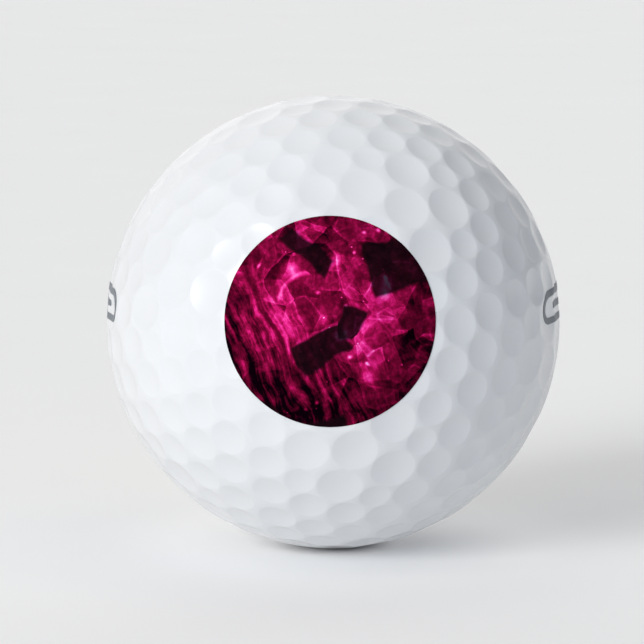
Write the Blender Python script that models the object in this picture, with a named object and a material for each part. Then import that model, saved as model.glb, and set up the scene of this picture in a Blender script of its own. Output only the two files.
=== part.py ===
"""Two-piece golf ball with a printed front, built in its rest pose on a level floor.

The origin is the lowest point of the ball, +Z is up and the front print faces -Y.
Lengths are in metres and angles in degrees unless a name says otherwise.

The ball has its own axes inside the pose: its pole is +Z and its seam lies in the XY plane.
The 432 dimples follow an icosahedron that has one corner on the pole, and no dimple crosses
the six great circles through the middles of the icosahedron's edges. The seam is one of them.
"""

import math

import bmesh
import bpy
from mathutils import Matrix, Vector

# Ball
BALL_RADIUS = 0.02135
CAVITY_RADIUS = 0.01965
CORE_RADIUS = 0.01935
SEAM_GAP = 0.00003
SPHERE_SUBDIVISIONS = 4
SPHERE_TURN = 15.0

# Rest pose: the pole leans away from the vertical, and the ball is spun about its pole
SEAM_LEAN = 18.73
SEAM_LEAN_AZIMUTH = 176.73
BALL_SPIN = -18.03

# Dimples: angular radius at the rim, and how far the middle lies below the rim's plane
LARGE, MEDIUM, SMALL = "large", "medium", "small"
RIM_ANGLE = {LARGE: 5.8, MEDIUM: 4.8, SMALL: 4.05}
DISH_DEPTH = {LARGE: 0.00016, MEDIUM: 0.00013, SMALL: 0.00011}
RIM_POINTS = 12

# Dimple places, as angles from an icosahedron corner or from the middle of a face
CORNER_LATITUDE = math.degrees(math.atan(0.5))
EDGE_ANGLE = 90.0 - CORNER_LATITUDE
RING_LARGE = 11.8
RING_SMALL = 16.8
RING_OUTER = 25.9
RING_PAIR = 22.2
PAIR_SPREAD = 13.1
FACE_TO_CORNER = 5.7
FACE_TO_EDGE = 11.35

# Ink films: a hair's gap over the cover, then the film itself
INK_GAP = 0.00003
INK_THICKNESS = 0.00005
CUTTER_REACH = 0.012

# Front print: a round patch seen square on from slightly above
PRINT_RADIUS = 0.0095
PRINT_ELEVATION = 8.15
PRINT_AZIMUTH = -0.85
PRINT_SIDES = 64

# Side marks: a long rounded ring with a bar inside it, one pair on each side
MARK_HEIGHT = 0.0031
MARK_LENGTH = 0.0150
MARK_STROKE = 0.0006
MARK_RISE = 0.0024
MARK_TURN = 2.3
BAR_HEIGHT = 0.0006
BAR_LENGTH = 0.0098
MARK_END_POINTS = 9

COLLECTION_NAME = "golf_ball"
CUTTER_COLLECTION_NAME = "golf_ball_cutters"

WHITE_COVER = ("white_cover", (0.86, 0.88, 0.90, 1.0), 0.28)
RUBBER_CORE = ("rubber_core", (0.10, 0.22, 0.30, 1.0), 0.75)
PRINT_INK = ("print_ink", (0.52, 0.01, 0.17, 1.0), 0.40)
SLATE_INK = ("slate_ink", (0.16, 0.19, 0.22, 1.0), 0.50)


def clear_scene():
    for item in list(bpy.data.objects):
        bpy.data.objects.remove(item, do_unlink=True)


def make_collection(name):
    collection = bpy.data.collections.new(name)
    bpy.context.scene.collection.children.link(collection)
    return collection


def make_material(name, color, roughness):
    material = bpy.data.materials.new(name)
    material.use_nodes = True
    shader = material.node_tree.nodes["Principled BSDF"]
    shader.inputs["Base Color"].default_value = color
    shader.inputs["Roughness"].default_value = roughness
    shader.inputs["Metallic"].default_value = 0.0
    material.diffuse_color = color
    return material


def sphere_point(latitude, azimuth):
    """Unit vector at a latitude and azimuth in the ball's own axes."""
    up = math.radians(latitude)
    around = math.radians(azimuth)
    return Vector((math.cos(up) * math.cos(around), math.cos(up) * math.sin(around), math.sin(up)))


def step_from(start, towards, angle, side=0.0):
    """Go along the sphere from start by an angle, heading side degrees away from towards."""
    heading = (towards - start * start.dot(towards)).normalized()
    sideways = start.cross(heading)
    turn = math.radians(side)
    direction = heading * math.cos(turn) + sideways * math.sin(turn)
    reach = math.radians(angle)
    return start * math.cos(reach) + direction * math.sin(reach)


def icosahedron_corners():
    upper = [sphere_point(90.0, 0.0)]
    upper += [sphere_point(CORNER_LATITUDE, 72.0 * step) for step in range(5)]
    return upper + [-corner for corner in upper]


def are_neighbours(first, second):
    return abs(math.degrees(first.angle(second)) - EDGE_ANGLE) < 1.0


def icosahedron_faces(corners):
    faces = []
    for i, first in enumerate(corners):
        for j, second in enumerate(corners[:i]):
            for third in corners[:j]:
                if (
                    are_neighbours(first, second)
                    and are_neighbours(second, third)
                    and are_neighbours(first, third)
                ):
                    faces.append((first, second, third))
    return faces


def dimple_layout():
    """Direction and size class of every dimple, in the ball's own axes."""
    corners = icosahedron_corners()
    dimples = [(corner, LARGE) for corner in corners]
    for corner in corners:
        for other in corners:
            if are_neighbours(corner, other):
                dimples.append((step_from(corner, other, RING_SMALL), SMALL))
                dimples.append((step_from(corner, other, RING_OUTER), MEDIUM))
    for face in icosahedron_faces(corners):
        middle = (face[0] + face[1] + face[2]).normalized()
        for corner in face:
            dimples.append((step_from(corner, middle, RING_LARGE), LARGE))
            dimples.append((step_from(corner, middle, RING_PAIR, PAIR_SPREAD), MEDIUM))
            dimples.append((step_from(corner, middle, RING_PAIR, -PAIR_SPREAD), MEDIUM))
            dimples.append((step_from(middle, corner, FACE_TO_CORNER), MEDIUM))
            dimples.append((step_from(middle, -corner, FACE_TO_EDGE), MEDIUM))
    return dimples


def rim_ring(direction, size):
    """Points on the unit sphere around one dimple."""
    guide = Vector((0.0, 0.0, 1.0)) if abs(direction.z) < 0.9 else Vector((1.0, 0.0, 0.0))
    return [
        step_from(direction, guide, RIM_ANGLE[size], 360.0 * step / RIM_POINTS)
        for step in range(RIM_POINTS)
    ]


def make_dimpled_mesh(name, radius):
    """Closed ball: the hull of all the rims gives the lands, and each rim is then dished."""
    bm = bmesh.new()
    rims = []
    for direction, size in dimple_layout():
        ring = [bm.verts.new(point * radius) for point in rim_ring(direction, size)]
        rims.append((set(ring), size))
    bmesh.ops.convex_hull(bm, input=list(bm.verts))
    for size in (LARGE, MEDIUM, SMALL):
        lids = []
        for ring, ring_size in rims:
            if ring_size == size:
                touching = {face for vertex in ring for face in vertex.link_faces}
                lids += [face for face in touching if ring.issuperset(face.verts)]
        lids = bmesh.ops.dissolve_faces(bm, faces=lids)["region"]
        bmesh.ops.poke(bm, faces=lids, offset=-DISH_DEPTH[size] * radius / BALL_RADIUS)
    bmesh.ops.recalc_face_normals(bm, faces=list(bm.faces))
    mesh = bpy.data.meshes.new(name)
    bm.to_mesh(mesh)
    bm.free()
    return mesh


def pose_matrix():
    """Turn from the ball's own axes to its rest pose."""
    lean_direction = Matrix.Rotation(math.radians(SEAM_LEAN_AZIMUTH), 3, "Z")
    lean = Matrix.Rotation(math.radians(SEAM_LEAN), 3, "Y")
    spin = Matrix.Rotation(math.radians(BALL_SPIN), 3, "Z")
    return lean_direction @ lean @ spin


def rest_height(mesh, turn):
    """Height of the ball's centre when its lowest point touches the floor."""
    return -min((turn @ vertex.co).z for vertex in mesh.vertices)


def make_pose_empty(collection, turn, height):
    empty = bpy.data.objects.new("ball_axes", None)
    collection.objects.link(empty)
    empty.location = (0.0, 0.0, height)
    empty.rotation_euler = turn.to_euler()
    return empty


def make_object(name, mesh, collection, parent=None):
    item = bpy.data.objects.new(name, mesh)
    collection.objects.link(item)
    item.parent = parent
    return item


def make_sphere_mesh(name, radius):
    bm = bmesh.new()
    turn = Matrix.Rotation(math.radians(SPHERE_TURN), 4, "X")
    bmesh.ops.create_icosphere(bm, subdivisions=SPHERE_SUBDIVISIONS, radius=radius, matrix=turn)
    mesh = bpy.data.meshes.new(name)
    bm.to_mesh(mesh)
    bm.free()
    return mesh


def make_cutter(item):
    item.hide_render = True
    item.display_type = "WIRE"


def add_boolean(item, operation, cutter):
    modifier = item.modifiers.new(cutter.name, "BOOLEAN")
    modifier.operation = operation
    modifier.object = cutter


def make_half_block(name, side, collection, parent):
    """Block that keeps one side of the seam: +1 above it, -1 below it."""
    bm = bmesh.new()
    size = 3.0 * BALL_RADIUS
    shift = Matrix.Translation((0.0, 0.0, side * (size / 2.0 + SEAM_GAP / 2.0)))
    bmesh.ops.create_cube(bm, size=size, matrix=shift)
    mesh = bpy.data.meshes.new(name)
    bm.to_mesh(mesh)
    bm.free()
    block = make_object(name, mesh, collection, parent)
    make_cutter(block)
    return block


def make_cover_half(name, side, mesh, cavity, material, collection, cutters, parent):
    half = make_object(name, mesh, collection, parent)
    block = make_half_block(name + "_block", side, cutters, parent)
    add_boolean(half, "INTERSECT", block)
    add_boolean(half, "DIFFERENCE", cavity)
    mesh.materials.append(material)
    return half


def stadium_points(length, height):
    """Outline of a bar with fully rounded ends, centred on the origin."""
    radius = height / 2.0
    offset = length / 2.0 - radius
    points = []
    for centre, start in ((offset, -90.0), (-offset, 90.0)):
        for step in range(MARK_END_POINTS):
            angle = math.radians(start + 180.0 * step / (MARK_END_POINTS - 1))
            points.append((centre + radius * math.cos(angle), radius * math.sin(angle)))
    return points


def make_prism_mesh(name, outlines):
    """Solid prism along Z from flat outlines, where an inner outline is a hole."""
    curve = bpy.data.curves.new(name, "CURVE")
    curve.dimensions = "2D"
    curve.fill_mode = "BOTH"
    curve.extrude = CUTTER_REACH / 2.0
    for outline in outlines:
        spline = curve.splines.new("POLY")
        spline.points.add(len(outline) - 1)
        for point, (x, y) in zip(spline.points, outline):
            point.co = (x, y, 0.0, 1.0)
        spline.use_cyclic_u = True
    holder = bpy.data.objects.new(name, curve)
    bpy.context.scene.collection.objects.link(holder)
    depsgraph = bpy.context.evaluated_depsgraph_get()
    mesh = bpy.data.meshes.new_from_object(holder.evaluated_get(depsgraph))
    bpy.data.objects.remove(holder, do_unlink=True)
    bpy.data.curves.remove(curve)
    bm = bmesh.new()
    bm.from_mesh(mesh)
    bmesh.ops.remove_doubles(bm, verts=list(bm.verts), dist=1e-7)
    bmesh.ops.recalc_face_normals(bm, faces=list(bm.faces))
    bm.to_mesh(mesh)
    bm.free()
    return mesh


def make_disc_mesh(name, radius):
    bm = bmesh.new()
    bmesh.ops.create_cone(
        bm,
        cap_ends=True,
        segments=PRINT_SIDES,
        radius1=radius,
        radius2=radius,
        depth=CUTTER_REACH,
    )
    mesh = bpy.data.meshes.new(name)
    bm.to_mesh(mesh)
    bm.free()
    return mesh


def place_ink_cutter(name, mesh, azimuth, elevation, centre, collection):
    """Stand a cutter on the ball, its Z axis along the outward direction.

    Azimuth 0 is the front (-Y) and +90 is the right-hand side (+X).
    """
    around = math.radians(azimuth)
    up = math.radians(elevation)
    outward = Vector(
        (math.sin(around) * math.cos(up), -math.cos(around) * math.cos(up), math.sin(up))
    )
    cutter = make_object(name, mesh, collection)
    cutter.location = centre + outward * BALL_RADIUS
    turn = Matrix.Rotation(around, 3, "Z") @ Matrix.Rotation(math.radians(90.0) - up, 3, "X")
    cutter.rotation_euler = turn.to_euler()
    make_cutter(cutter)
    return cutter


def make_ink(name, outer_mesh, inner, cutter, material, collection, parent):
    """Film that follows the dimples: the ball a little enlarged, trimmed, minus a smaller one."""
    film = make_object(name, outer_mesh.copy(), collection, parent)
    film.data.name = name
    add_boolean(film, "INTERSECT", cutter)
    add_boolean(film, "DIFFERENCE", inner)
    film.data.materials.append(material)
    return film


def mark_outlines():
    ring = [
        stadium_points(MARK_LENGTH, MARK_HEIGHT),
        stadium_points(MARK_LENGTH - 2.0 * MARK_STROKE, MARK_HEIGHT - 2.0 * MARK_STROKE),
    ]
    bar = [stadium_points(BAR_LENGTH, BAR_HEIGHT)]
    return {"ring": ring, "bar": bar}


def build():
    clear_scene()
    parts = make_collection(COLLECTION_NAME)
    cutters = make_collection(CUTTER_COLLECTION_NAME)

    white = make_material(*WHITE_COVER)
    rubber = make_material(*RUBBER_CORE)
    print_ink = make_material(*PRINT_INK)
    slate_ink = make_material(*SLATE_INK)

    turn = pose_matrix()
    ball_mesh = make_dimpled_mesh("dimpled_ball", BALL_RADIUS)
    centre = Vector((0.0, 0.0, rest_height(ball_mesh, turn)))
    axes = make_pose_empty(parts, turn, centre.z)

    cavity = make_object("cavity", make_sphere_mesh("cavity", CAVITY_RADIUS), cutters, axes)
    make_cutter(cavity)
    for name, side in (("upper_cover", 1.0), ("lower_cover", -1.0)):
        half_mesh = ball_mesh.copy()
        half_mesh.name = name
        make_cover_half(name, side, half_mesh, cavity, white, parts, cutters, axes)

    core = make_object("core", make_sphere_mesh("core", CORE_RADIUS), parts, axes)
    core.data.materials.append(rubber)
    core.data.shade_smooth()

    ink_inside = make_dimpled_mesh("ink_inside", BALL_RADIUS + INK_GAP)
    ink_outside = make_dimpled_mesh("ink_outside", BALL_RADIUS + INK_GAP + INK_THICKNESS)
    inner = make_object("ink_inside", ink_inside, cutters, axes)
    make_cutter(inner)

    disc = make_disc_mesh("print_cutter", PRINT_RADIUS)
    disc_cutter = place_ink_cutter(
        "print_cutter", disc, PRINT_AZIMUTH, PRINT_ELEVATION, centre, cutters
    )
    make_ink("front_print", ink_outside, inner, disc_cutter, print_ink, parts, axes)

    mark_elevation = math.degrees(math.asin(MARK_RISE / BALL_RADIUS))
    for side_name, azimuth in (("left", -90.0 - MARK_TURN), ("right", 90.0 - MARK_TURN)):
        for shape, outlines in mark_outlines().items():
            name = side_name + "_mark_" + shape
            prism = make_prism_mesh(name + "_cutter", outlines)
            cutter = place_ink_cutter(
                name + "_cutter", prism, azimuth, mark_elevation, centre, cutters
            )
            make_ink(name, ink_outside, inner, cutter, slate_ink, parts, axes)


build()
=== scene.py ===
"""Looks of the golf ball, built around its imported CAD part.

Lengths are in metres and angles in degrees. The ball's own axes have the pole on +Z and the
seam in the XY plane; the rest pose turns them as the CAD part does.
"""

import math

import bmesh
import bpy
import numpy as np
from mathutils import Matrix, Vector


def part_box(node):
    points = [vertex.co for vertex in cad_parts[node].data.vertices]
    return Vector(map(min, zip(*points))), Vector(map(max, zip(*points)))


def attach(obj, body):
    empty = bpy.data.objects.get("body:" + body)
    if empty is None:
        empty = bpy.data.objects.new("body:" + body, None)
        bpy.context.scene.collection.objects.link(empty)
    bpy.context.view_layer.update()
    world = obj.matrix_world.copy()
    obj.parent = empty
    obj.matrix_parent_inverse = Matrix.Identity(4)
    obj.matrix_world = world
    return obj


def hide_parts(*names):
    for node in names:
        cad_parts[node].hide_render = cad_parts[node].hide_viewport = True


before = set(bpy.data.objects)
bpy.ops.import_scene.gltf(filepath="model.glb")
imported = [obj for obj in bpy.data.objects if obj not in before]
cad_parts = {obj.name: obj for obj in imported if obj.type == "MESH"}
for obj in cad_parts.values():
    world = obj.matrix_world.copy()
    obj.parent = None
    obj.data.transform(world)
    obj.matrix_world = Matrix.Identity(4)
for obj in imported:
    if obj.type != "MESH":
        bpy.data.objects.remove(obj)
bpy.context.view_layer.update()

# Ball, as in the CAD part
BALL_RADIUS = 0.02135
CAVITY_RADIUS = 0.01965
SEAM_GAP = 0.000002
SEAM_LEAN = 18.73
SEAM_LEAN_AZIMUTH = 176.73
BALL_SPIN = -18.03

# Dimple layout, as in the CAD part
CORNER_LATITUDE = math.degrees(math.atan(0.5))
EDGE_ANGLE = 90.0 - CORNER_LATITUDE
RING_LARGE = 11.8
RING_SMALL = 16.8
RING_OUTER = 25.9
RING_PAIR = 22.2
PAIR_SPREAD = 13.1
FACE_TO_CORNER = 5.7
FACE_TO_EDGE = 11.35

# Dimple form
LARGE, MEDIUM, SMALL = 5.8, 4.8, 4.05
DISH_SLOPE = 8.5
RIM_ROUNDING = 0.00004
RIM_SEGMENTS = 36
RING_STEPS = (0.22, 0.42, 0.60, 0.74, 0.84, 0.91, 0.96)

# Ink
PRINT_RADIUS = 0.0095
PRINT_ELEVATION = 8.15
PRINT_AZIMUTH = -0.85
INK_LIFT = 0.00001
INK_THICKNESS = 0.00003
PRINT_RINGS = 90
PRINT_SEGMENTS = 240
PRESS_STEPS = 5

# Side marks: a long rounded ring with a bar inside it
MARK_HEIGHT = 0.0031
MARK_LENGTH = 0.0150
MARK_STROKE = 0.0006
MARK_RISE = 0.0024
MARK_TURN = 2.3
BAR_HEIGHT = 0.0006
BAR_LENGTH = 0.0098
MARK_END_STEPS = 24
MARK_SIDE_STEPS = 40
STROKE_STEPS = 4

# Mesh density
CHUNK = 20000
INSIDE_RINGS = 12

# Materials: linear colours along a noise value, and noise scales in cycles per metre
COVER_TONES = ((0.3, (0.69, 0.70, 0.715)), (0.7, (0.715, 0.725, 0.74)))
COVER_MOTTLE = 120.0
COVER_PEEL = 1800.0
COVER_PEEL_DEPTH = 0.000002
PRINT_TONES = (
    (0.00, (0.003, 0.0002, 0.0020)),
    (0.04, (0.010, 0.0003, 0.004)),
    (0.16, (0.055, 0.0010, 0.010)),
    (0.28, (0.130, 0.0018, 0.022)),
    (0.37, (0.230, 0.0030, 0.042)),
    (0.455, (0.400, 0.0050, 0.080)),
    (0.545, (0.620, 0.0110, 0.165)),
    (0.65, (0.800, 0.0330, 0.290)),
    (0.77, (0.900, 0.1500, 0.520)),
    (0.93, (0.760, 0.5200, 0.930)),
)
PRINT_RANGE = 1.43
BLOCK_TONES = ((0.3, (0.002, 0.001, 0.002)), (0.7, (0.014, 0.003, 0.006)))
MARK_TONES = ((0.35, (0.105, 0.12, 0.14)), (0.75, (0.20, 0.225, 0.25)))
CORE_TONES = ((0.35, (0.06, 0.16, 0.23)), (0.55, (0.10, 0.22, 0.30)), (0.75, (0.22, 0.36, 0.44)))
CORE_SPECKS = 1400.0
CORE_SPECK_DEPTH = 0.00004
MARK_WEAR = 2600.0

# Artwork of the front print, in units of its radius. A scale is in cells per unit.
SWAY_SCALE = 1.7
SWAY = 0.25
SHARDS = ((1.7, 20.0, 0.46), (3.9, 50.0, 0.38), (9.5, 75.0, 0.22))  # scale, turn and weight
SHARD_OFFSET = (3.1, 1.7, 0.0)
SHARD_SLOPE = 1.1
CRACK_WIDTH = 0.02
CRACK_BRIGHTNESS = 0.4
BEAD_SCALE = 1.5
BEAD_OFFSET = (6.4, 2.2, 0.0)
BEAD_CHANCE = 0.5
BEAD_INNER_EDGE = (0.34, 0.41)
BEAD_OUTER_EDGE = (0.40, 0.44)
BEAD_LIGHT = (-0.6, 1.1, 0.0)
STREAK_TURN = 68.0
STREAK_STRETCH = (1.1, 9.0, 1.0)
STREAK_SCALE = 1.6
STREAK_SIDE = (-0.7, -0.7, 0.0)
STREAK_SHARES = (0.1, 0.62)
GLOW_MIDDLE = (-0.1, 0.2, 0.0)
GLOW_REACH = (0.1, 1.2)
GLOW_LEVELS = (0.26, -0.34)
GRAIN_SCALE = 9.0
GRAIN = 0.2
GLINTS = ((2.6, 0.30, 0.22), (6.0, 0.2, 0.14), (15.0, 0.2, 0.03))  # scale, size and chance
GLINT_OFFSET = (0.4, 9.3, 0.0)
GLINT_BRIGHTNESS = 0.62
BLOCKS = ((1.3, (6.6, 7.7, 0.0), 0.5), (2.3, (9.0, 7.0, 0.0), 0.22))  # scale, offset and chance
BLOCK_WIDTHS = (0.12, 0.36)
BLOCK_LENGTH = 0.38
BLOCK_EDGE = 0.04
BLOCK_COVERAGE = 0.96

# Camera and stage
CAMERA_ELEVATION = 8.0
CAMERA_DISTANCE = 18.4 * BALL_RADIUS
BALL_SHARE = 0.7034
SENSOR_WIDTH = 0.036
CENTRE_SHIFT = 0.0174
FLOOR_SIZE = 6.0
FLOOR_TONES = ((0.3, (0.80, 0.80, 0.80)), (0.7, (0.81, 0.81, 0.81)))
FLOOR_GLOW = 0.09

# Painted light on the floor near the ball: its glow rises from none at the contact (a painted
# contact shadow) and falls again (a painted glow), each between two distances from the contact
PAINTED_NEAR_GLOW = 0.165
PAINTED_SHADOW_RISE = (0.0020, 0.0065)
PAINTED_GLOW_FALL = (0.007, 0.030)

# Lights: name, azimuth, elevation, spread and colour times strength
LIGHTS = (
    ("key_light", -41.0, 20.0, 30.0, (2.28, 2.29, 2.26)),
    ("side_light", -75.0, 48.0, 50.0, (0.25, 0.235, 0.22)),
    ("front_light", -15.0, 4.0, 40.0, (0.13, 0.135, 0.14)),
    ("strip_light_low", -58.0, 18.0, 11.0, (0.075, 0.075, 0.075)),
    ("strip_light_middle", -57.0, 38.0, 11.0, (0.075, 0.075, 0.075)),
    ("strip_light_high", -56.0, 57.0, 11.0, (0.075, 0.075, 0.075)),
    ("fill_light", 60.0, 60.0, 50.0, (0.44, 0.40, 0.325)),
    ("rear_light", 120.0, 60.0, 50.0, (0.26, 0.27, 0.28)),
)

# Pale wall seen over the floor, which fades out between two elevations
WALL_GLOW = (0.785, 0.79, 0.79)
WALL_FADE = (1.8, 4.0)

# Panels: azimuth, elevation, narrowness and colour times strength
AMBIENT = (0.078, 0.084, 0.102)
PANELS = (
    (20.0, 20.0, 8.0, (0.14, 0.32, 0.60)),
    (180.0, 60.0, 8.0, (0.64, 0.635, 0.585)),
    (180.0, 8.0, 8.0, (0.58, 0.59, 0.58)),
    (-150.0, 10.0, 2.0, (0.60, 0.58, 0.576)),
)


def sphere_point(latitude, azimuth):
    up = math.radians(latitude)
    around = math.radians(azimuth)
    return Vector((math.cos(up) * math.cos(around), math.cos(up) * math.sin(around), math.sin(up)))


def step_from(start, towards, angle, side=0.0):
    heading = (towards - start * start.dot(towards)).normalized()
    sideways = start.cross(heading)
    turn = math.radians(side)
    direction = heading * math.cos(turn) + sideways * math.sin(turn)
    reach = math.radians(angle)
    return start * math.cos(reach) + direction * math.sin(reach)


def icosahedron_corners():
    upper = [sphere_point(90.0, 0.0)]
    upper += [sphere_point(CORNER_LATITUDE, 72.0 * step) for step in range(5)]
    return upper + [-corner for corner in upper]


def are_neighbours(first, second):
    return abs(math.degrees(first.angle(second)) - EDGE_ANGLE) < 1.0


def icosahedron_faces(corners):
    faces = []
    for i, first in enumerate(corners):
        for j, second in enumerate(corners[:i]):
            for third in corners[:j]:
                if (
                    are_neighbours(first, second)
                    and are_neighbours(second, third)
                    and are_neighbours(first, third)
                ):
                    faces.append((first, second, third))
    return faces


def dimple_layout():
    """Direction and angular radius of every dimple, in the ball's own axes."""
    corners = icosahedron_corners()
    dimples = [(corner, LARGE) for corner in corners]
    for corner in corners:
        for other in corners:
            if are_neighbours(corner, other):
                dimples.append((step_from(corner, other, RING_SMALL), SMALL))
                dimples.append((step_from(corner, other, RING_OUTER), MEDIUM))
    for face in icosahedron_faces(corners):
        middle = (face[0] + face[1] + face[2]).normalized()
        for corner in face:
            dimples.append((step_from(corner, middle, RING_LARGE), LARGE))
            dimples.append((step_from(corner, middle, RING_PAIR, PAIR_SPREAD), MEDIUM))
            dimples.append((step_from(corner, middle, RING_PAIR, -PAIR_SPREAD), MEDIUM))
            dimples.append((step_from(middle, corner, FACE_TO_CORNER), MEDIUM))
            dimples.append((step_from(middle, -corner, FACE_TO_EDGE), MEDIUM))
    return dimples


DIMPLES = dimple_layout()
DIMPLE_DIRECTIONS = np.array([direction for direction, size in DIMPLES])
DIMPLE_SIZES = np.radians([size for direction, size in DIMPLES])


def smooth_minimum(first, second, width):
    overlap = np.clip(width - np.abs(first - second), 0.0, None) / width
    return np.minimum(first, second) - overlap**2 * width / 4.0


def surface_radius(directions):
    """Distance from the ball's centre to its surface, along unit vectors in the ball's axes."""
    result = np.empty(len(directions))
    for first in range(0, len(directions), CHUNK):
        batch = slice(first, first + CHUNK)
        angles = np.arccos(np.clip(directions[batch] @ DIMPLE_DIRECTIONS.T, -1.0, 1.0))
        nearest = np.argpartition(angles - DIMPLE_SIZES, 3, axis=1)[:, :3]
        nearest = np.sort(nearest, axis=1)
        away = np.take_along_axis(angles, nearest, axis=1)
        rim = DIMPLE_SIZES[nearest]
        chord = BALL_RADIUS * np.cos(rim) / np.cos(away)
        depth = 0.5 * BALL_RADIUS * np.sin(rim) * math.tan(math.radians(DISH_SLOPE))
        dish = chord - depth * (1.0 - (away / rim) ** 2)
        radius = np.full(len(away), BALL_RADIUS)
        for column in range(3):
            radius = smooth_minimum(radius, dish[:, column], RIM_ROUNDING)
        result[batch] = radius
    return result


def pose_matrix():
    """Turn from the ball's own axes to its rest pose."""
    lean_direction = Matrix.Rotation(math.radians(SEAM_LEAN_AZIMUTH), 3, "Z")
    lean = Matrix.Rotation(math.radians(SEAM_LEAN), 3, "Y")
    spin = Matrix.Rotation(math.radians(BALL_SPIN), 3, "Z")
    return lean_direction @ lean @ spin


def outward_matrix(azimuth, elevation):
    """Axes of a patch on the ball: X to its right, Y up and Z outward. Azimuth 0 is the front."""
    around = Matrix.Rotation(math.radians(azimuth), 3, "Z")
    return around @ Matrix.Rotation(math.radians(90.0 - elevation), 3, "X")


POSE = pose_matrix()
CORE_LOW, CORE_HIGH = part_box("core")
CENTRE = (CORE_LOW + CORE_HIGH) / 2.0


def make_object(name, mesh, turn):
    item = bpy.data.objects.new(name, mesh)
    bpy.context.scene.collection.objects.link(item)
    item.matrix_world = Matrix.Translation(CENTRE) @ turn.to_4x4()
    return item


def dimple_points(direction, angle):
    guide = Vector((0.0, 0.0, 1.0)) if abs(direction.z) < 0.9 else Vector((1.0, 0.0, 0.0))
    return [
        step_from(direction, guide, angle, 360.0 * step / RIM_SEGMENTS)
        for step in range(RIM_SEGMENTS)
    ]


def push_to_surface(bm):
    """Move unit-sphere vertices to the dimpled surface."""
    directions = np.array([vertex.co for vertex in bm.verts])
    directions /= np.linalg.norm(directions, axis=1)[:, None]
    for vertex, direction, radius in zip(bm.verts, directions, surface_radius(directions)):
        vertex.co = direction * radius


def fill_gaps(bm):
    """Close the slits where the hull has left out a point of a rim."""
    bmesh.ops.delete(bm, geom=[edge for edge in bm.edges if edge.is_wire], context="EDGES")
    open_edges = [edge for edge in bm.edges if edge.is_boundary]
    bmesh.ops.holes_fill(bm, edges=open_edges, sides=0)


def dimpled_ball():
    """The lands are the hull of all the rims, and each rim is filled with rings of faces."""
    bm = bmesh.new()
    rims = []
    for direction, size in DIMPLES:
        rims.append([bm.verts.new(point) for point in dimple_points(direction, size)])
    bmesh.ops.convex_hull(bm, input=list(bm.verts))
    rim_of = {vertex: number for number, rim in enumerate(rims) for vertex in rim}
    lids = [face for face in bm.faces if len({rim_of[vertex] for vertex in face.verts}) == 1]
    bmesh.ops.delete(bm, geom=lids, context="FACES_ONLY")
    for (direction, size), rim in zip(DIMPLES, rims):
        outer = rim
        for step in reversed(RING_STEPS):
            inner = [bm.verts.new(point) for point in dimple_points(direction, size * step)]
            for i in range(RIM_SEGMENTS):
                j = (i + 1) % RIM_SEGMENTS
                bm.faces.new((outer[i], outer[j], inner[j], inner[i]))
            outer = inner
        middle = bm.verts.new(direction)
        for i in range(RIM_SEGMENTS):
            bm.faces.new((outer[i], outer[(i + 1) % RIM_SEGMENTS], middle))
    fill_gaps(bm)
    bmesh.ops.recalc_face_normals(bm, faces=list(bm.faces))
    push_to_surface(bm)
    return bm


def close_shell(bm, side):
    """Turn a half of the ball into a closed shell with a smooth round inside."""
    rim = [vertex for vertex in bm.verts if vertex.is_boundary]
    rim.sort(key=lambda vertex: math.atan2(vertex.co.y, vertex.co.x))
    azimuths = [math.atan2(vertex.co.y, vertex.co.x) for vertex in rim]
    outer = rim
    lowest = math.degrees(math.asin(0.5 * SEAM_GAP / CAVITY_RADIUS))
    for step in range(INSIDE_RINGS):
        latitude = math.radians(lowest + (90.0 - lowest) * step / INSIDE_RINGS)
        flat, height = CAVITY_RADIUS * math.cos(latitude), CAVITY_RADIUS * math.sin(latitude)
        inner = [
            bm.verts.new((flat * math.cos(turn), flat * math.sin(turn), side * height))
            for turn in azimuths
        ]
        for i in range(len(rim)):
            j = (i + 1) % len(rim)
            bm.faces.new((outer[i], outer[j], inner[j], inner[i]))
        outer = inner
    top = bm.verts.new((0.0, 0.0, side * CAVITY_RADIUS))
    for i in range(len(rim)):
        bm.faces.new((outer[i], outer[(i + 1) % len(rim)], top))
    bmesh.ops.recalc_face_normals(bm, faces=list(bm.faces))


def finish_mesh(bm, name, sharp_angle=35.0):
    mesh = bpy.data.meshes.new(name)
    bm.to_mesh(mesh)
    bm.free()
    mesh.shade_smooth()
    mesh.set_sharp_from_angle(angle=math.radians(sharp_angle))
    return mesh


def make_cover_halves(material):
    ball = dimpled_ball()
    for name, side, node in (
        ("cover_shell_upper", 1.0, "upper_cover"),
        ("cover_shell_lower", -1.0, "lower_cover"),
    ):
        half = ball.copy()
        bmesh.ops.bisect_plane(
            half,
            geom=list(half.verts) + list(half.edges) + list(half.faces),
            dist=1e-8,
            plane_co=(0.0, 0.0, side * SEAM_GAP / 2.0),
            plane_no=(0.0, 0.0, -side),
            clear_outer=True,
        )
        close_shell(half, side)
        shell = make_object(name, finish_mesh(half, name), POSE)
        shell.data.materials.append(material)
        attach(shell, "root")
        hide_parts(node)
    ball.free()


def ball_directions(points, turn):
    """Unit vectors in the ball's own axes for points given in a patch's axes."""
    to_ball = np.array(POSE.transposed() @ turn)
    directions = np.array(points) @ to_ball.T
    return directions / np.linalg.norm(directions, axis=1)[:, None]


def raise_points(flat_points, turn, lift):
    """Press points of a patch's XY plane square on to the dimpled surface, then lift them."""
    flat = np.array(flat_points)
    outward = (flat**2).sum(axis=1)
    radius = BALL_RADIUS
    for _ in range(PRESS_STEPS):
        points = np.column_stack([flat, np.sqrt(radius**2 - outward)])
        radius = surface_radius(ball_directions(points, turn)) + lift
    return points


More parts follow.
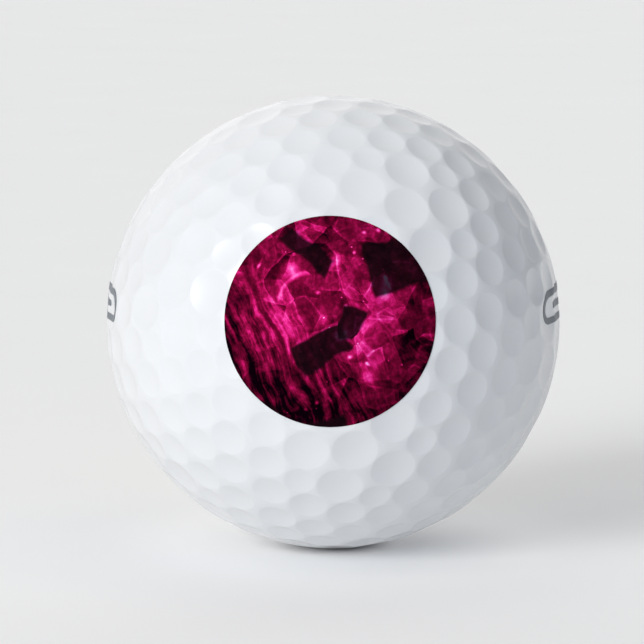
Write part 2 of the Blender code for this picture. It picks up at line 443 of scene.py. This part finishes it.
def make_film(name, rows, has_hole, turn, material, node):
    """Closed film from a grid of flat points, where each row of points is a closed loop.

    The first row is the edge of a hole, or else its points meet and close the middle.
    """
    bm = bmesh.new()
    flat = [point for row in rows for point in row]
    top = raise_points(flat, turn, INK_LIFT + INK_THICKNESS)
    bottom = raise_points(flat, turn, INK_LIFT)
    layers = [[bm.verts.new(point) for point in layer] for layer in (top, bottom)]
    columns = len(rows[0])
    for layer in layers:
        for i in range(len(rows) - 1):
            for j in range(columns):
                k = (j + 1) % columns
                a, b = i * columns, (i + 1) * columns
                bm.faces.new((layer[a + j], layer[a + k], layer[b + k], layer[b + j]))
    walls = [len(rows) - 1] + ([0] if has_hole else [])
    for i in walls:
        for j in range(columns):
            a, b = i * columns + j, i * columns + (j + 1) % columns
            bm.faces.new((layers[0][a], layers[0][b], layers[1][b], layers[1][a]))
    bmesh.ops.remove_doubles(bm, verts=list(bm.verts), dist=1e-7)
    bmesh.ops.recalc_face_normals(bm, faces=list(bm.faces))
    film = make_object(name, finish_mesh(bm, name), turn)
    film.data.materials.append(material)
    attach(film, "root")
    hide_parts(node)


def make_front_print(material):
    rows = []
    for ring in range(PRINT_RINGS + 1):
        radius = PRINT_RADIUS * ring / PRINT_RINGS
        rows.append(
            [
                (
                    radius * math.cos(2.0 * math.pi * step / PRINT_SEGMENTS),
                    radius * math.sin(2.0 * math.pi * step / PRINT_SEGMENTS),
                )
                for step in range(PRINT_SEGMENTS)
            ]
        )
    turn = outward_matrix(PRINT_AZIMUTH, PRINT_ELEVATION)
    make_film("front_print_film", rows, False, turn, material, "front_print")


def stadium_loop(length, height, spread):
    """Closed loop at a distance spread outside the spine of a bar with rounded ends."""
    reach = (length - height) / 2.0
    points = []
    for side in (1.0, -1.0):
        for step in range(MARK_END_STEPS):
            angle = math.radians(-90.0 + 180.0 * step / MARK_END_STEPS)
            points.append(
                (side * (reach + spread * math.cos(angle)), side * spread * math.sin(angle))
            )
        for step in range(MARK_SIDE_STEPS):
            share = step / MARK_SIDE_STEPS
            points.append((side * reach * (1.0 - 2.0 * share), side * spread))
    return points


def make_marks(material):
    elevation = math.degrees(math.asin(MARK_RISE / BALL_RADIUS))
    for side_name, azimuth in (("left", -90.0 - MARK_TURN), ("right", 90.0 - MARK_TURN)):
        turn = outward_matrix(azimuth, elevation)
        for shape, length, height, stroke in (
            ("ring", MARK_LENGTH, MARK_HEIGHT, MARK_STROKE),
            ("bar", BAR_LENGTH, BAR_HEIGHT, BAR_HEIGHT / 2.0),
        ):
            outside = height / 2.0
            rows = [
                stadium_loop(length, height, outside - stroke * (1.0 - step / STROKE_STEPS))
                for step in range(STROKE_STEPS + 1)
            ]
            node = side_name + "_mark_" + shape
            make_film(
                node + "_film", rows, shape == "ring", turn, material, node
            )


class Nodes:
    """Adds and links the nodes of a material or world. Most methods return a socket."""

    def __init__(self, owner, shader="Principled BSDF"):
        owner.use_nodes = True
        self.owner = owner
        self.tree = owner.node_tree
        self.shader = self.tree.nodes[shader]

    def add(self, kind, inputs, **settings):
        node = self.tree.nodes.new("ShaderNode" + kind)
        for key, value in settings.items():
            setattr(node, key, value)
        for key, value in inputs.items():
            if isinstance(value, bpy.types.NodeSocket):
                self.tree.links.new(value, node.inputs[key])
            else:
                node.inputs[key].default_value = value
        return node

    def shade(self, **values):
        """Feed the shader; an underscore stands for a space in an input's name."""
        for key, value in values.items():
            socket = self.shader.inputs[key.replace("_", " ")]
            if isinstance(value, bpy.types.NodeSocket):
                self.tree.links.new(value, socket)
            else:
                socket.default_value = value

    def object_point(self):
        return self.add("TexCoord", {}).outputs["Object"]

    def math(self, operation, first, second=0.0):
        node = self.add("Math", {0: first, 1: second}, operation=operation)
        return node.outputs[0]

    def vector(self, operation, first, second=(0.0, 0.0, 0.0)):
        node = self.add("VectorMath", {0: first, 1: second}, operation=operation)
        scalar = operation in ("DOT_PRODUCT", "LENGTH")
        return node.outputs["Value" if scalar else "Vector"]

    def remap(self, value, low, high, new_low=0.0, new_high=1.0):
        """Smooth step from new_low at low to new_high at high."""
        inputs = {"Value": value, "From Min": low, "From Max": high}
        inputs.update({"To Min": new_low, "To Max": new_high})
        node = self.add("MapRange", inputs, interpolation_type="SMOOTHSTEP")
        return node.outputs["Result"]

    def place(self, point, turn, offset):
        """Turn a point about Z, then shift it."""
        rotation = (0.0, 0.0, math.radians(turn))
        inputs = {"Vector": point, "Location": offset, "Rotation": rotation}
        return self.add("Mapping", inputs).outputs["Vector"]

    def noise(self, point, scale, detail=2.0, roughness=0.5):
        inputs = {"Vector": point, "Scale": scale, "Detail": detail, "Roughness": roughness}
        return self.add("TexNoise", inputs)

    def cells(self, point, scale, feature="F1"):
        inputs = {"Vector": point, "Scale": scale}
        return self.add("TexVoronoi", inputs, voronoi_dimensions="2D", feature=feature)

    def share(self, color, channel):
        return self.add("SeparateColor", {"Color": color}).outputs[channel]

    def picks(self, cells, channel, chance):
        """1 in cells chosen at random with a given chance, and 0 in the others."""
        return self.math("LESS_THAN", self.share(cells.outputs["Color"], channel), chance)

    def mix(self, factor, first, second):
        """Mix two numbers."""
        change = self.math("SUBTRACT", second, first)
        return self.math("ADD", first, self.math("MULTIPLY", factor, change))

    def blend(self, factor, first, second):
        """Mix two colours."""
        change = self.vector("SUBTRACT", second, first)
        scale = self.add("VectorMath", {0: change, "Scale": factor}, operation="SCALE")
        return self.vector("ADD", first, scale.outputs["Vector"])

    def ramp(self, value, stops):
        node = self.add("ValToRGB", {"Fac": value})
        elements = node.color_ramp.elements
        while len(elements) < len(stops):
            elements.new(1.0)
        for element, (place, color) in zip(elements, stops):
            element.position = place
            element.color = (*color, 1.0)
        return node.outputs["Color"]

    def bump(self, height, distance):
        inputs = {"Height": height, "Distance": distance, "Strength": 1.0}
        return self.add("Bump", inputs).outputs["Normal"]


def make_cover_material():
    """White ionomer under clear lacquer: faint mottling and a fine orange-peel surface."""
    nodes = Nodes(bpy.data.materials.new("white_cover_gloss"))
    point = nodes.object_point()
    mottle = nodes.noise(point, COVER_MOTTLE, 3.0).outputs["Fac"]
    peel = nodes.noise(point, COVER_PEEL, 2.0).outputs["Fac"]
    nodes.shade(
        Base_Color=nodes.ramp(mottle, COVER_TONES),
        Roughness=nodes.remap(mottle, 0.3, 0.7, 0.32, 0.4),
        Specular_IOR_Level=0.2,
        Coat_Weight=0.85,
        Coat_IOR=1.35,
        Coat_Roughness=nodes.remap(peel, 0.3, 0.7, 0.2, 0.24),
        Normal=nodes.bump(peel, COVER_PEEL_DEPTH),
    )
    return nodes.owner


def shard_tone(nodes, point, flat):
    """Shards in several sizes: a tone for each, a slope of light across it and bright cracks."""
    fade = nodes.remap(nodes.noise(flat, 3.1, 3.0).outputs["Fac"], 0.38, 0.62)
    tone = 0.0
    for scale, turn, weight in SHARDS:
        moved = nodes.place(point, turn, SHARD_OFFSET)
        shard = nodes.cells(moved, scale)
        inside = nodes.vector("SUBTRACT", moved, shard.outputs["Position"])
        lean = nodes.vector("SUBTRACT", shard.outputs["Color"], (0.5, 0.5, 0.5))
        across = nodes.vector("DOT_PRODUCT", inside, lean)
        slope = nodes.math("MULTIPLY", across, scale * SHARD_SLOPE)
        level = nodes.math("ADD", nodes.share(shard.outputs["Color"], "Green"), slope)
        tone = nodes.math("ADD", tone, nodes.math("MULTIPLY", level, weight))
        edge = nodes.cells(moved, scale, "DISTANCE_TO_EDGE").outputs["Distance"]
        crack = nodes.remap(edge, 0.0, CRACK_WIDTH * scale, CRACK_BRIGHTNESS * weight, 0.0)
        tone = nodes.math("ADD", tone, nodes.math("MULTIPLY", crack, fade))
    return tone


def bead_tone(nodes, point):
    """Round cells with a bright arc and a dark far side."""
    moved = nodes.place(point, 0.0, BEAD_OFFSET)
    bead = nodes.cells(moved, BEAD_SCALE)
    far = nodes.remap(bead.outputs["Distance"], *BEAD_OUTER_EDGE, 1.0, 0.0)
    near = nodes.remap(bead.outputs["Distance"], *BEAD_INNER_EDGE)
    picked = nodes.picks(bead, "Red", BEAD_CHANCE)
    arc = nodes.math("MULTIPLY", nodes.math("MULTIPLY", far, near), picked)
    inside = nodes.vector("SUBTRACT", moved, bead.outputs["Position"])
    lit = nodes.math("ADD", nodes.vector("DOT_PRODUCT", inside, BEAD_LIGHT), 0.05)
    return nodes.math("MULTIPLY", arc, lit)


def mix_in_streaks(nodes, point, flat, tone):
    """Long streaks, as in drawn glass, strongest on the lower left."""
    turned = nodes.place(point, STREAK_TURN, (0.0, 0.0, 0.0))
    drawn = nodes.vector("MULTIPLY", turned, STREAK_STRETCH)
    streaks = nodes.remap(nodes.noise(drawn, STREAK_SCALE, 4.0, 0.6).outputs["Fac"], 0.32, 0.68)
    corner = nodes.vector("DOT_PRODUCT", flat, STREAK_SIDE)
    return nodes.mix(nodes.remap(corner, 0.0, 0.5, *STREAK_SHARES), tone, streaks)


def glint_tone(nodes, point, scale, size, chance):
    """Glints, large and soft or small and sharp."""
    glint = nodes.cells(nodes.place(point, 0.0, GLINT_OFFSET), scale)
    spark = nodes.remap(glint.outputs["Distance"], 0.0, size, GLINT_BRIGHTNESS, 0.0)
    return nodes.math("MULTIPLY", spark, nodes.picks(glint, "Blue", chance))


def block_shade(nodes, point, scale, offset, chance):
    """Dark blocks, each turned and sized at random."""
    moved = nodes.place(point, 0.0, offset)
    block = nodes.cells(moved, scale)
    color = block.outputs["Color"]
    inside = nodes.vector("SUBTRACT", moved, block.outputs["Position"])
    angle = nodes.math("MULTIPLY", nodes.share(color, "Green"), math.tau)
    turned = nodes.add("VectorRotate", {"Vector": inside, "Angle": angle})
    across = nodes.vector("ABSOLUTE", turned.outputs["Vector"])
    axes = nodes.add("SeparateXYZ", {"Vector": across})
    narrow, wide = (width / scale for width in BLOCK_WIDTHS)
    width = nodes.remap(nodes.share(color, "Blue"), 0.0, 1.0, narrow, wide)
    side = nodes.math("SUBTRACT", axes.outputs["X"], width)
    end = nodes.math("SUBTRACT", axes.outputs["Y"], BLOCK_LENGTH / scale)
    body = nodes.remap(nodes.math("MAXIMUM", side, end), -BLOCK_EDGE, 0.0, BLOCK_COVERAGE, 0.0)
    return nodes.math("MULTIPLY", nodes.picks(block, "Red", chance), body)


def make_print_material():
    """Generic abstract artwork: shards and beads of magenta glass, dark blocks and glints."""
    nodes = Nodes(bpy.data.materials.new("magenta_glass_print"))
    flatten = (1.0 / PRINT_RADIUS, 1.0 / PRINT_RADIUS, 0.0)
    flat = nodes.vector("MULTIPLY", nodes.object_point(), flatten)
    noise = nodes.noise(flat, SWAY_SCALE, 2.0).outputs["Color"]
    sway = nodes.vector("SUBTRACT", noise, (0.5, 0.5, 0.5))
    point = nodes.vector("ADD", flat, nodes.vector("MULTIPLY", sway, (SWAY, SWAY, 0.0)))

    tone = nodes.math("ADD", shard_tone(nodes, point, flat), bead_tone(nodes, point))
    tone = mix_in_streaks(nodes, point, flat, tone)
    glow = nodes.vector("LENGTH", nodes.vector("SUBTRACT", flat, GLOW_MIDDLE))
    tone = nodes.math("ADD", tone, nodes.remap(glow, *GLOW_REACH, *GLOW_LEVELS))
    grain = nodes.noise(flat, GRAIN_SCALE, 7.0, 0.7).outputs["Fac"]
    tone = nodes.math("ADD", tone, nodes.remap(grain, 0.25, 0.75, -GRAIN, GRAIN))
    for glint in GLINTS:
        tone = nodes.math("ADD", tone, glint_tone(nodes, point, *glint))

    color = nodes.ramp(nodes.math("DIVIDE", tone, PRINT_RANGE), PRINT_TONES)
    block_color = nodes.ramp(grain, BLOCK_TONES)
    for block in BLOCKS:
        color = nodes.blend(block_shade(nodes, point, *block), color, block_color)
    nodes.shade(
        Base_Color=color,
        Roughness=nodes.remap(grain, 0.3, 0.7, 0.34, 0.44),
        Specular_IOR_Level=0.0,
    )
    return nodes.owner


def make_mark_material():
    """Stamped slate ink, a little thin in places."""
    nodes = Nodes(bpy.data.materials.new("slate_stamp_ink"))
    point = nodes.object_point()
    wear = nodes.noise(point, MARK_WEAR, 3.0, 0.6).outputs["Fac"]
    nodes.shade(
        Base_Color=nodes.ramp(wear, MARK_TONES),
        Roughness=nodes.remap(wear, 0.3, 0.7, 0.35, 0.5),
    )
    return nodes.owner


def make_core_material():
    """Moulded rubber with pale filler specks."""
    nodes = Nodes(bpy.data.materials.new("moulded_rubber"))
    point = nodes.object_point()
    specks = nodes.noise(point, CORE_SPECKS, 4.0, 0.7).outputs["Fac"]
    nodes.shade(
        Base_Color=nodes.ramp(specks, CORE_TONES),
        Roughness=nodes.remap(specks, 0.3, 0.7, 0.8, 0.65),
        Normal=nodes.bump(specks, CORE_SPECK_DEPTH),
    )
    return nodes.owner


def make_floor():
    """Pale paper with a faint glow, painted light standing in for scattered light: none at the
    contact as a painted contact shadow, most just round it as a painted glow.
    """
    bm = bmesh.new()
    bmesh.ops.create_grid(bm, x_segments=1, y_segments=1, size=FLOOR_SIZE / 2.0)
    mesh = bpy.data.meshes.new("studio_floor")
    bm.to_mesh(mesh)
    bm.free()
    floor = bpy.data.objects.new("studio_floor", mesh)
    bpy.context.scene.collection.objects.link(floor)
    nodes = Nodes(bpy.data.materials.new("studio_floor_paint"))
    point = nodes.object_point()
    paper = nodes.noise(point, 40.0, 3.0).outputs["Fac"]
    away = nodes.vector("LENGTH", point)
    # Painted contact shadow and painted glow: the emission is none at the contact, most just round
    # it, then falls to the even floor glow
    painted_rise = nodes.remap(away, *PAINTED_SHADOW_RISE, 0.0, PAINTED_NEAR_GLOW)
    painted_fall = nodes.remap(away, *PAINTED_GLOW_FALL, 0.0, PAINTED_NEAR_GLOW - FLOOR_GLOW)
    nodes.shade(
        Base_Color=nodes.ramp(paper, FLOOR_TONES),
        Roughness=0.9,
        Specular_IOR_Level=0.0,
        Emission_Color=(1.0, 1.0, 1.0, 1.0),
        Emission_Strength=nodes.math("SUBTRACT", painted_rise, painted_fall),
    )
    mesh.materials.append(nodes.owner)


def make_camera():
    data = bpy.data.cameras.new("photo_camera")
    camera = bpy.data.objects.new("photo_camera", data)
    bpy.context.scene.collection.objects.link(camera)
    up = math.radians(CAMERA_ELEVATION)
    camera.location = CENTRE + CAMERA_DISTANCE * Vector((0.0, -math.cos(up), math.sin(up)))
    camera.rotation_euler = (math.radians(90.0) - up, 0.0, 0.0)
    reach = math.sqrt((CAMERA_DISTANCE / BALL_RADIUS) ** 2 - 1.0)
    data.sensor_width = SENSOR_WIDTH * 1000.0
    data.lens = 0.5 * BALL_SHARE * reach * data.sensor_width
    data.shift_x = -CENTRE_SHIFT
    data.clip_start = 0.01
    bpy.context.scene.camera = camera


def make_sun(name, azimuth, elevation, spread, color):
    """Distant soft light. Azimuth 0 shines from the front (-Y) and 90 from the right (+X)."""
    data = bpy.data.lights.new(name, "SUN")
    data.energy = 1.0
    data.angle = math.radians(spread)
    data.color = color
    light = bpy.data.objects.new(name, data)
    bpy.context.scene.collection.objects.link(light)
    light.rotation_euler = (math.radians(90.0 - elevation), 0.0, math.radians(azimuth))


def make_world():
    """Broad panels round the set, each fading away from its middle, over a low pale wall."""
    nodes = Nodes(bpy.data.worlds.new("studio"), "Background")
    view = nodes.add("TexCoord", {}).outputs["Generated"]
    total = AMBIENT
    for azimuth, elevation, narrowness, color in PANELS:
        middle = outward_matrix(azimuth, elevation) @ Vector((0.0, 0.0, 1.0))
        facing = nodes.math("MAXIMUM", nodes.vector("DOT_PRODUCT", view, tuple(middle)), 0.0)
        panel = nodes.vector("MULTIPLY", nodes.math("POWER", facing, narrowness), color)
        total = nodes.vector("ADD", total, panel)
    low, high = (math.sin(math.radians(angle)) for angle in WALL_FADE)
    up = nodes.add("SeparateXYZ", {"Vector": view}).outputs["Z"]
    total = nodes.blend(nodes.remap(up, low, high), WALL_GLOW, total)
    nodes.shade(Color=total, Strength=1.0)
    bpy.context.scene.world = nodes.owner


def main():
    make_cover_halves(make_cover_material())
    make_front_print(make_print_material())
    make_marks(make_mark_material())
    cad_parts["core"].data.materials.clear()
    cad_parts["core"].data.materials.append(make_core_material())
    make_floor()
    make_camera()
    make_world()
    for light in LIGHTS:
        make_sun(*light)
    bpy.context.scene.view_settings.view_transform = "Standard"


main()
